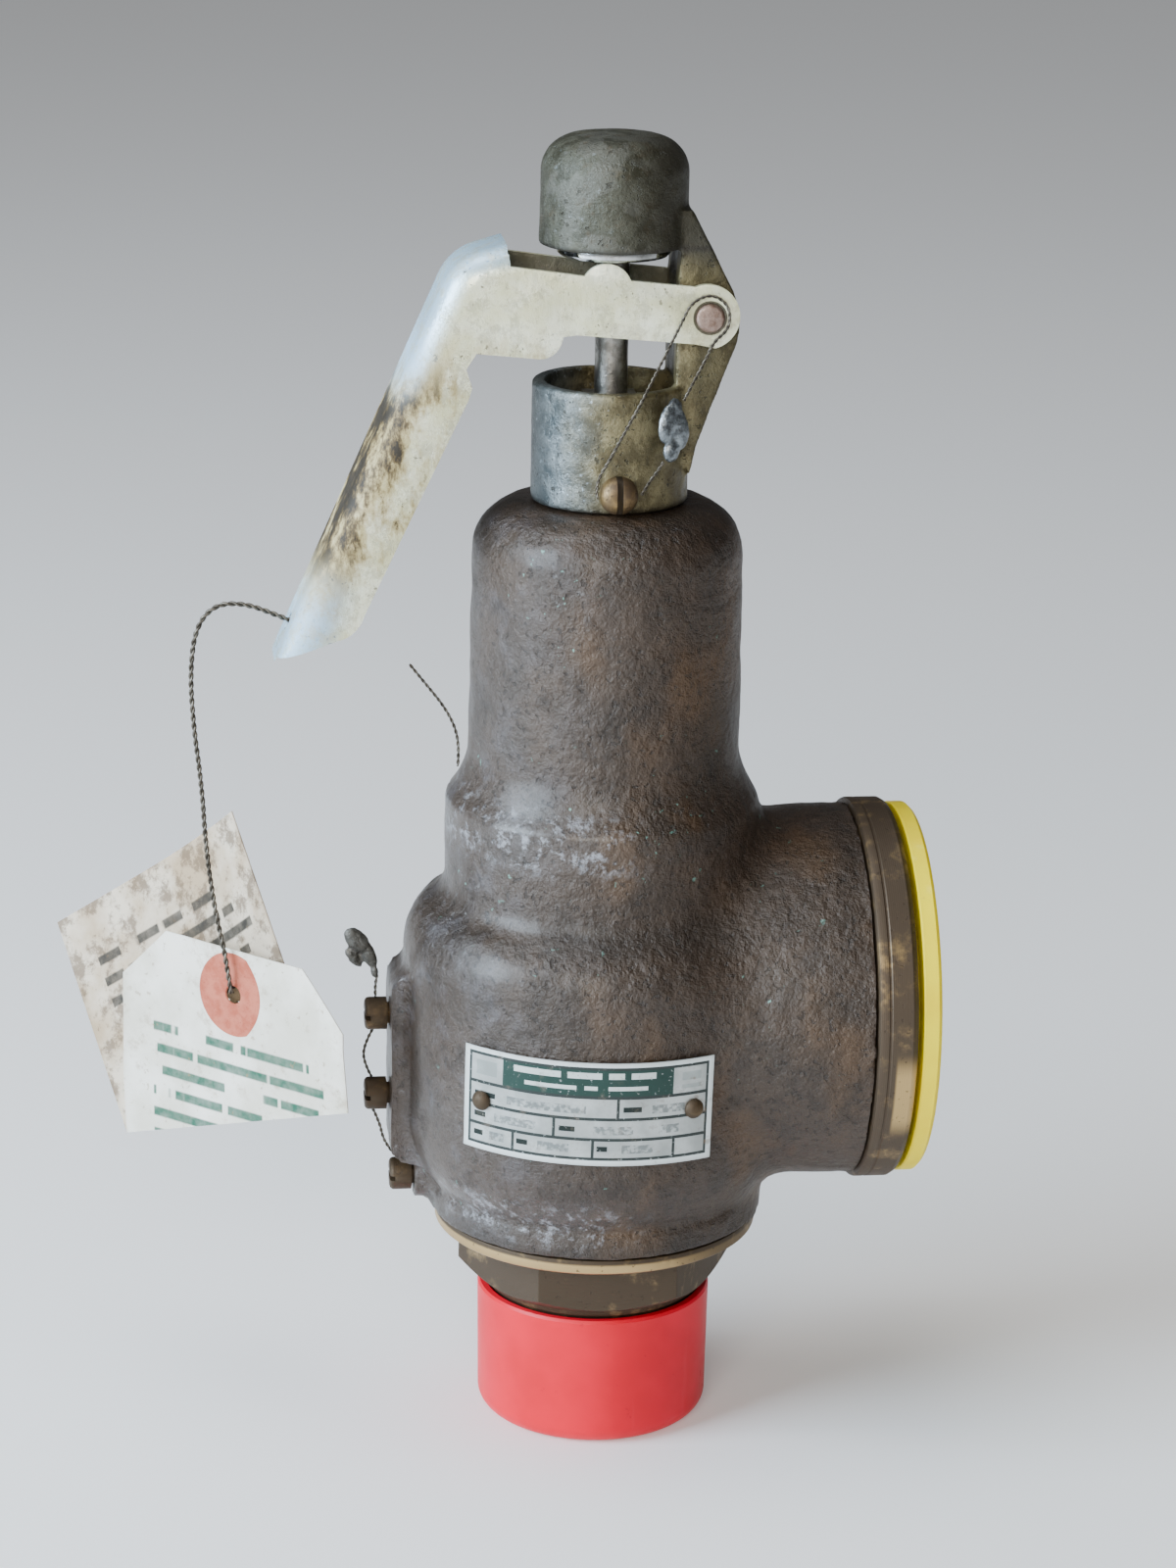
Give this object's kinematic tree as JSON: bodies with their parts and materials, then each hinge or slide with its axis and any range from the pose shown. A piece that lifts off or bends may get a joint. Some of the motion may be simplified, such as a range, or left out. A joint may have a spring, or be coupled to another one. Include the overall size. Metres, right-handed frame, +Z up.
{
  "type": "pressure relief valve",
  "caption": "Bronze angle safety relief valve with nameplate, open lifting lever, wire seals, hanging tag and plastic thread protectors on its inlet and outlet.",
  "frame": {"origin": "centre of the underside of the red inlet protector that the valve stands on, on the inlet axis", "axes": "+Z up along the inlet axis and stem, +X along the outlet axis, -Y towards the nameplate side, lever handle on the -X side"},
  "size_m": [0.2338, 0.1146, 0.3592],
  "materials": {
    "bronze_casting": "weathered dark bronze casting",
    "machined_brass": "machined, tarnished",
    "brass_screw": "turned, tarnished",
    "stem_steel": "turned",
    "bright_steel": "polished",
    "spring_steel": "oiled",
    "zinc_casting": "plated casting, dull grey",
    "plated_lever": "pale plating, stained",
    "pin_steel": "rust tinted",
    "nameplate_foil": "satin with green band",
    "lead": "pressed soft lead",
    "seal_wire": "dark twisted wire",
    "red_plastic": "moulded, satin",
    "yellow_plastic": "moulded, satin",
    "tag_stock": "cloth-backed, stained",
    "patch_paper": "salmon red reinforcement"
  },
  "bodies": {
    "valve": {"body_casting": "bronze_casting", "inlet_nozzle": "machined_brass", "lower_ring": "machined_brass", "upper_ring": "machined_brass", "disc_guide": "machined_brass", "spring": "spring_steel", "upper_spring_washer": "machined_brass", "compression_screw": "machined_brass", "compression_lock_nut": "machined_brass", "lever_yoke": "zinc_casting", "yoke_screw": "brass_screw", "lever_pin": "pin_steel", "nameplate": "nameplate_foil", "nameplate_screws": "brass_screw", "upper_ring_screw": "brass_screw", "lower_ring_screw": "brass_screw", "nozzle_lock_screw": "brass_screw", "seal_wire_tail": "seal_wire", "yoke_seal_wire": "seal_wire", "yoke_lead_seal": "lead", "ring_seal_wire": "seal_wire", "ring_lead_seal": "lead"},
    "spindle": {"disc": "stem_steel", "disc_holder": "machined_brass", "stem": "stem_steel", "stem_clip": "spring_steel", "lower_spring_washer": "machined_brass", "lift_nut": "bright_steel", "lift_jam_nut": "bright_steel"},
    "lever": {"lever": "plated_lever"},
    "tag": {"tag_wire": "seal_wire", "tag": "tag_stock", "tag_patch": "patch_paper"},
    "inlet_cap": {"inlet_cap": "red_plastic"},
    "outlet_plug": {"outlet_plug": "yellow_plastic"}
  },
  "joints": [
    {"name": "lever_lift", "type": "hinge", "parent": "valve", "child": "lever", "pos_m": [0.024, 0, 0.3128], "axis": [0, 1, 0], "range_deg": [0, 7]},
    {"name": "spindle_lift", "type": "slide", "parent": "valve", "child": "spindle", "axis": [0, 0, 1], "range_m": [0, 0.0035], "stiffness_N_per_m": 2000, "deforming": ["spring"]},
    {"name": "tag_swing", "type": "hinge", "parent": "lever", "child": "tag", "pos_m": [-0.0845, 0, 0.229], "axis": [0, 1, 0], "range_deg": [-6, 30], "stiffness_Nm_per_rad": 0.05},
    {"name": "inlet_cap_pull", "type": "slide", "parent": "valve", "child": "inlet_cap", "axis": [0, 0, -1], "range_m": [0, 0.045]},
    {"name": "outlet_plug_pull", "type": "slide", "parent": "valve", "child": "outlet_plug", "axis": [1, 0, 0], "range_m": [0, 0.03]}
  ],
  "couplings": [
    {"joint": "spindle_lift", "follows": "lever_lift", "m_per_rad": 0.0285}
  ]
}
